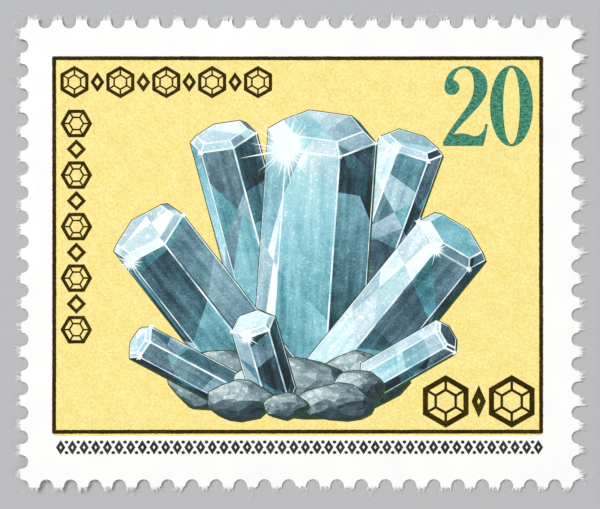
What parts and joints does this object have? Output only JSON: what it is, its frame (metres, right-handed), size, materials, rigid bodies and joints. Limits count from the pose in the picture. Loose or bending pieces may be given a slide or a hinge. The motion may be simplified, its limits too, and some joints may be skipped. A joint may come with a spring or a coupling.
{
  "type": "postage stamp",
  "caption": "Flat landscape postage stamp of gummed paper with perforated, torn edges, to be stuck on mail or kept in an album.",
  "frame": {"origin": "centre of the gummed back, where the stamp rests", "axes": "+X to the right along the long side of the design, +Y to the top of the design, +Z out of the printed face"},
  "size_m": [0.0334, 0.0278, 0.0001],
  "materials": {
    "paper": "smooth coated paper, printed on its face and gummed on its back"
  },
  "bodies": {
    "root": {"stamp": "paper"}
  },
  "joints": []
}
